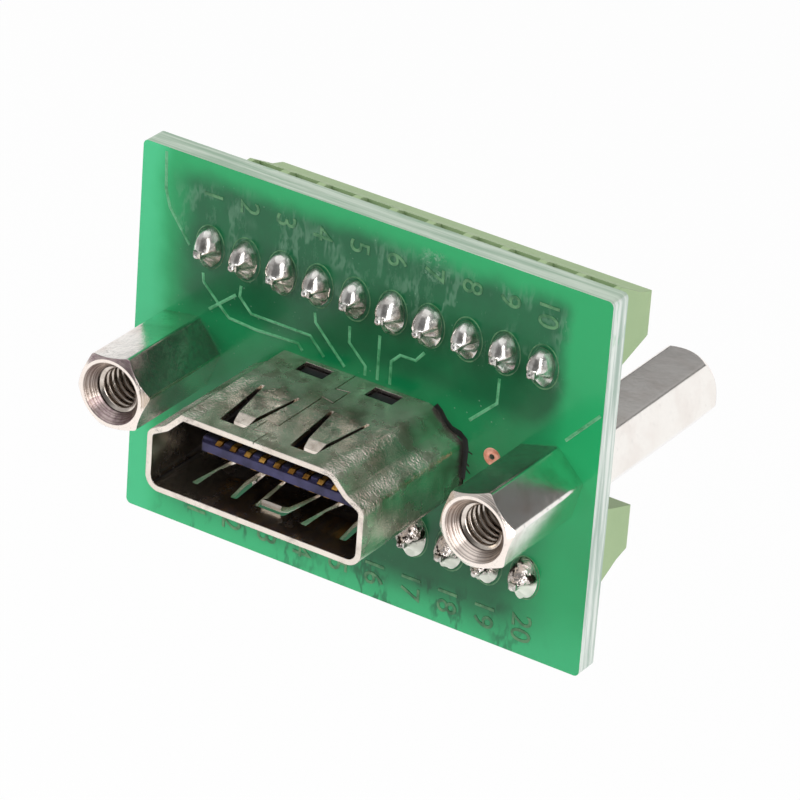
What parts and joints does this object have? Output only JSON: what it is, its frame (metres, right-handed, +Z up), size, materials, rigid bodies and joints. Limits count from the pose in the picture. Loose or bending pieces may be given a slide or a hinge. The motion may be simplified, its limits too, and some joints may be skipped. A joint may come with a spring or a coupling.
{
  "type": "panel mount video socket breakout board",
  "caption": "Digital video socket on a small circuit board with threaded hexagonal standoffs and two rows of rising-cage screw terminals behind it.",
  "frame": {"origin": "midway between the two front standoffs, in the plane where their front faces meet the panel", "axes": "X to the right along the rows, Y from the mouth towards the rear, Z up"},
  "size_m": [0.032, 0.0261, 0.0242],
  "materials": {
    "board": "glossy green coating on glass cloth",
    "shell": "bright nickel plate",
    "insulator": "moulded, dull",
    "contacts": "gold plate",
    "block": "moulded, satin",
    "strips": "tin plate",
    "solder": "bright tin alloy",
    "standoffs": "bright nickel plate",
    "screws": "zinc plate",
    "cages": "nickel plate"
  },
  "bodies": {
    "socket_board": {"circuit_board": "board", "socket_shell": "shell", "socket_housing": "insulator", "upper_contacts": "contacts", "lower_contacts": "contacts", "upper_terminal_block": "block", "lower_terminal_block": "block", "upper_terminal_strips": "strips", "lower_terminal_strips": "strips", "upper_solder_joints": "solder", "lower_solder_joints": "solder", "tail_solder_joints": "solder", "leg_solder_joints": "solder", "front_standoff_left": "standoffs", "front_standoff_right": "standoffs", "rear_standoff_left": "standoffs", "rear_standoff_right": "standoffs"},
    "upper_screw_1": {"upper_clamp_screw_1": "screws"},
    "upper_cage_1": {"upper_clamp_cage_1": "cages"},
    "upper_screw_2": {"upper_clamp_screw_2": "screws"},
    "upper_cage_2": {"upper_clamp_cage_2": "cages"},
    "upper_screw_3": {"upper_clamp_screw_3": "screws"},
    "upper_cage_3": {"upper_clamp_cage_3": "cages"},
    "upper_screw_4": {"upper_clamp_screw_4": "screws"},
    "upper_cage_4": {"upper_clamp_cage_4": "cages"},
    "upper_screw_5": {"upper_clamp_screw_5": "screws"},
    "upper_cage_5": {"upper_clamp_cage_5": "cages"},
    "upper_screw_6": {"upper_clamp_screw_6": "screws"},
    "upper_cage_6": {"upper_clamp_cage_6": "cages"},
    "upper_screw_7": {"upper_clamp_screw_7": "screws"},
    "upper_cage_7": {"upper_clamp_cage_7": "cages"},
    "upper_screw_8": {"upper_clamp_screw_8": "screws"},
    "upper_cage_8": {"upper_clamp_cage_8": "cages"},
    "upper_screw_9": {"upper_clamp_screw_9": "screws"},
    "upper_cage_9": {"upper_clamp_cage_9": "cages"},
    "upper_screw_10": {"upper_clamp_screw_10": "screws"},
    "upper_cage_10": {"upper_clamp_cage_10": "cages"},
    "lower_screw_1": {"lower_clamp_screw_1": "screws"},
    "lower_cage_1": {"lower_clamp_cage_1": "cages"},
    "lower_screw_2": {"lower_clamp_screw_2": "screws"},
    "lower_cage_2": {"lower_clamp_cage_2": "cages"},
    "lower_screw_3": {"lower_clamp_screw_3": "screws"},
    "lower_cage_3": {"lower_clamp_cage_3": "cages"},
    "lower_screw_4": {"lower_clamp_screw_4": "screws"},
    "lower_cage_4": {"lower_clamp_cage_4": "cages"},
    "lower_screw_5": {"lower_clamp_screw_5": "screws"},
    "lower_cage_5": {"lower_clamp_cage_5": "cages"},
    "lower_screw_6": {"lower_clamp_screw_6": "screws"},
    "lower_cage_6": {"lower_clamp_cage_6": "cages"},
    "lower_screw_7": {"lower_clamp_screw_7": "screws"},
    "lower_cage_7": {"lower_clamp_cage_7": "cages"},
    "lower_screw_8": {"lower_clamp_screw_8": "screws"},
    "lower_cage_8": {"lower_clamp_cage_8": "cages"},
    "lower_screw_9": {"lower_clamp_screw_9": "screws"},
    "lower_cage_9": {"lower_clamp_cage_9": "cages"},
    "lower_screw_10": {"lower_clamp_screw_10": "screws"},
    "lower_cage_10": {"lower_clamp_cage_10": "cages"}
  },
  "joints": [
    {"name": "upper_screw_1_turn", "type": "hinge", "parent": "socket_board", "child": "upper_screw_1", "pos_m": [-0.01113, 0.0166, 0.0073], "axis": [0, -1, 0], "range_deg": [0, 1440]},
    {"name": "upper_cage_1_rise", "type": "slide", "parent": "socket_board", "child": "upper_cage_1", "axis": [0, 1, 0], "range_m": [0, 0.0012]},
    {"name": "upper_screw_2_turn", "type": "hinge", "parent": "socket_board", "child": "upper_screw_2", "pos_m": [-0.00859, 0.0166, 0.0073], "axis": [0, -1, 0], "range_deg": [0, 1440]},
    {"name": "upper_cage_2_rise", "type": "slide", "parent": "socket_board", "child": "upper_cage_2", "axis": [0, 1, 0], "range_m": [0, 0.0012]},
    {"name": "upper_screw_3_turn", "type": "hinge", "parent": "socket_board", "child": "upper_screw_3", "pos_m": [-0.00605, 0.0166, 0.0073], "axis": [0, -1, 0], "range_deg": [0, 1440]},
    {"name": "upper_cage_3_rise", "type": "slide", "parent": "socket_board", "child": "upper_cage_3", "axis": [0, 1, 0], "range_m": [0, 0.0012]},
    {"name": "upper_screw_4_turn", "type": "hinge", "parent": "socket_board", "child": "upper_screw_4", "pos_m": [-0.00351, 0.0166, 0.0073], "axis": [0, -1, 0], "range_deg": [0, 1440]},
    {"name": "upper_cage_4_rise", "type": "slide", "parent": "socket_board", "child": "upper_cage_4", "axis": [0, 1, 0], "range_m": [0, 0.0012]},
    {"name": "upper_screw_5_turn", "type": "hinge", "parent": "socket_board", "child": "upper_screw_5", "pos_m": [-0.00097, 0.0166, 0.0073], "axis": [0, -1, 0], "range_deg": [0, 1440]},
    {"name": "upper_cage_5_rise", "type": "slide", "parent": "socket_board", "child": "upper_cage_5", "axis": [0, 1, 0], "range_m": [0, 0.0012]},
    {"name": "upper_screw_6_turn", "type": "hinge", "parent": "socket_board", "child": "upper_screw_6", "pos_m": [0.00157, 0.0166, 0.0073], "axis": [0, -1, 0], "range_deg": [0, 1440]},
    {"name": "upper_cage_6_rise", "type": "slide", "parent": "socket_board", "child": "upper_cage_6", "axis": [0, 1, 0], "range_m": [0, 0.0012]},
    {"name": "upper_screw_7_turn", "type": "hinge", "parent": "socket_board", "child": "upper_screw_7", "pos_m": [0.00411, 0.0166, 0.0073], "axis": [0, -1, 0], "range_deg": [0, 1440]},
    {"name": "upper_cage_7_rise", "type": "slide", "parent": "socket_board", "child": "upper_cage_7", "axis": [0, 1, 0], "range_m": [0, 0.0012]},
    {"name": "upper_screw_8_turn", "type": "hinge", "parent": "socket_board", "child": "upper_screw_8", "pos_m": [0.00665, 0.0166, 0.0073], "axis": [0, -1, 0], "range_deg": [0, 1440]},
    {"name": "upper_cage_8_rise", "type": "slide", "parent": "socket_board", "child": "upper_cage_8", "axis": [0, 1, 0], "range_m": [0, 0.0012]},
    {"name": "upper_screw_9_turn", "type": "hinge", "parent": "socket_board", "child": "upper_screw_9", "pos_m": [0.00919, 0.0166, 0.0073], "axis": [0, -1, 0], "range_deg": [0, 1440]},
    {"name": "upper_cage_9_rise", "type": "slide", "parent": "socket_board", "child": "upper_cage_9", "axis": [0, 1, 0], "range_m": [0, 0.0012]},
    {"name": "upper_screw_10_turn", "type": "hinge", "parent": "socket_board", "child": "upper_screw_10", "pos_m": [0.01173, 0.0166, 0.0073], "axis": [0, -1, 0], "range_deg": [0, 1440]},
    {"name": "upper_cage_10_rise", "type": "slide", "parent": "socket_board", "child": "upper_cage_10", "axis": [0, 1, 0], "range_m": [0, 0.0012]},
    {"name": "lower_screw_1_turn", "type": "hinge", "parent": "socket_board", "child": "lower_screw_1", "pos_m": [-0.01113, 0.0166, -0.0068], "axis": [0, -1, 0], "range_deg": [0, 1440]},
    {"name": "lower_cage_1_rise", "type": "slide", "parent": "socket_board", "child": "lower_cage_1", "axis": [0, 1, 0], "range_m": [0, 0.0012]},
    {"name": "lower_screw_2_turn", "type": "hinge", "parent": "socket_board", "child": "lower_screw_2", "pos_m": [-0.00859, 0.0166, -0.0068], "axis": [0, -1, 0], "range_deg": [0, 1440]},
    {"name": "lower_cage_2_rise", "type": "slide", "parent": "socket_board", "child": "lower_cage_2", "axis": [0, 1, 0], "range_m": [0, 0.0012]},
    {"name": "lower_screw_3_turn", "type": "hinge", "parent": "socket_board", "child": "lower_screw_3", "pos_m": [-0.00605, 0.0166, -0.0068], "axis": [0, -1, 0], "range_deg": [0, 1440]},
    {"name": "lower_cage_3_rise", "type": "slide", "parent": "socket_board", "child": "lower_cage_3", "axis": [0, 1, 0], "range_m": [0, 0.0012]},
    {"name": "lower_screw_4_turn", "type": "hinge", "parent": "socket_board", "child": "lower_screw_4", "pos_m": [-0.00351, 0.0166, -0.0068], "axis": [0, -1, 0], "range_deg": [0, 1440]},
    {"name": "lower_cage_4_rise", "type": "slide", "parent": "socket_board", "child": "lower_cage_4", "axis": [0, 1, 0], "range_m": [0, 0.0012]},
    {"name": "lower_screw_5_turn", "type": "hinge", "parent": "socket_board", "child": "lower_screw_5", "pos_m": [-0.00097, 0.0166, -0.0068], "axis": [0, -1, 0], "range_deg": [0, 1440]},
    {"name": "lower_cage_5_rise", "type": "slide", "parent": "socket_board", "child": "lower_cage_5", "axis": [0, 1, 0], "range_m": [0, 0.0012]},
    {"name": "lower_screw_6_turn", "type": "hinge", "parent": "socket_board", "child": "lower_screw_6", "pos_m": [0.00157, 0.0166, -0.0068], "axis": [0, -1, 0], "range_deg": [0, 1440]},
    {"name": "lower_cage_6_rise", "type": "slide", "parent": "socket_board", "child": "lower_cage_6", "axis": [0, 1, 0], "range_m": [0, 0.0012]},
    {"name": "lower_screw_7_turn", "type": "hinge", "parent": "socket_board", "child": "lower_screw_7", "pos_m": [0.00411, 0.0166, -0.0068], "axis": [0, -1, 0], "range_deg": [0, 1440]},
    {"name": "lower_cage_7_rise", "type": "slide", "parent": "socket_board", "child": "lower_cage_7", "axis": [0, 1, 0], "range_m": [0, 0.0012]},
    {"name": "lower_screw_8_turn", "type": "hinge", "parent": "socket_board", "child": "lower_screw_8", "pos_m": [0.00665, 0.0166, -0.0068], "axis": [0, -1, 0], "range_deg": [0, 1440]},
    {"name": "lower_cage_8_rise", "type": "slide", "parent": "socket_board", "child": "lower_cage_8", "axis": [0, 1, 0], "range_m": [0, 0.0012]},
    {"name": "lower_screw_9_turn", "type": "hinge", "parent": "socket_board", "child": "lower_screw_9", "pos_m": [0.00919, 0.0166, -0.0068], "axis": [0, -1, 0], "range_deg": [0, 1440]},
    {"name": "lower_cage_9_rise", "type": "slide", "parent": "socket_board", "child": "lower_cage_9", "axis": [0, 1, 0], "range_m": [0, 0.0012]},
    {"name": "lower_screw_10_turn", "type": "hinge", "parent": "socket_board", "child": "lower_screw_10", "pos_m": [0.01173, 0.0166, -0.0068], "axis": [0, -1, 0], "range_deg": [0, 1440]},
    {"name": "lower_cage_10_rise", "type": "slide", "parent": "socket_board", "child": "lower_cage_10", "axis": [0, 1, 0], "range_m": [0, 0.0012]}
  ],
  "couplings": [
    {"joint": "upper_screw_1_turn", "follows": "upper_cage_1_rise", "rad_per_m": 20944},
    {"joint": "upper_screw_2_turn", "follows": "upper_cage_2_rise", "rad_per_m": 20944},
    {"joint": "upper_screw_3_turn", "follows": "upper_cage_3_rise", "rad_per_m": 20944},
    {"joint": "upper_screw_4_turn", "follows": "upper_cage_4_rise", "rad_per_m": 20944},
    {"joint": "upper_screw_5_turn", "follows": "upper_cage_5_rise", "rad_per_m": 20944},
    {"joint": "upper_screw_6_turn", "follows": "upper_cage_6_rise", "rad_per_m": 20944},
    {"joint": "upper_screw_7_turn", "follows": "upper_cage_7_rise", "rad_per_m": 20944},
    {"joint": "upper_screw_8_turn", "follows": "upper_cage_8_rise", "rad_per_m": 20944},
    {"joint": "upper_screw_9_turn", "follows": "upper_cage_9_rise", "rad_per_m": 20944},
    {"joint": "upper_screw_10_turn", "follows": "upper_cage_10_rise", "rad_per_m": 20944},
    {"joint": "lower_screw_1_turn", "follows": "lower_cage_1_rise", "rad_per_m": 20944},
    {"joint": "lower_screw_2_turn", "follows": "lower_cage_2_rise", "rad_per_m": 20944},
    {"joint": "lower_screw_3_turn", "follows": "lower_cage_3_rise", "rad_per_m": 20944},
    {"joint": "lower_screw_4_turn", "follows": "lower_cage_4_rise", "rad_per_m": 20944},
    {"joint": "lower_screw_5_turn", "follows": "lower_cage_5_rise", "rad_per_m": 20944},
    {"joint": "lower_screw_6_turn", "follows": "lower_cage_6_rise", "rad_per_m": 20944},
    {"joint": "lower_screw_7_turn", "follows": "lower_cage_7_rise", "rad_per_m": 20944},
    {"joint": "lower_screw_8_turn", "follows": "lower_cage_8_rise", "rad_per_m": 20944},
    {"joint": "lower_screw_9_turn", "follows": "lower_cage_9_rise", "rad_per_m": 20944},
    {"joint": "lower_screw_10_turn", "follows": "lower_cage_10_rise", "rad_per_m": 20944}
  ]
}
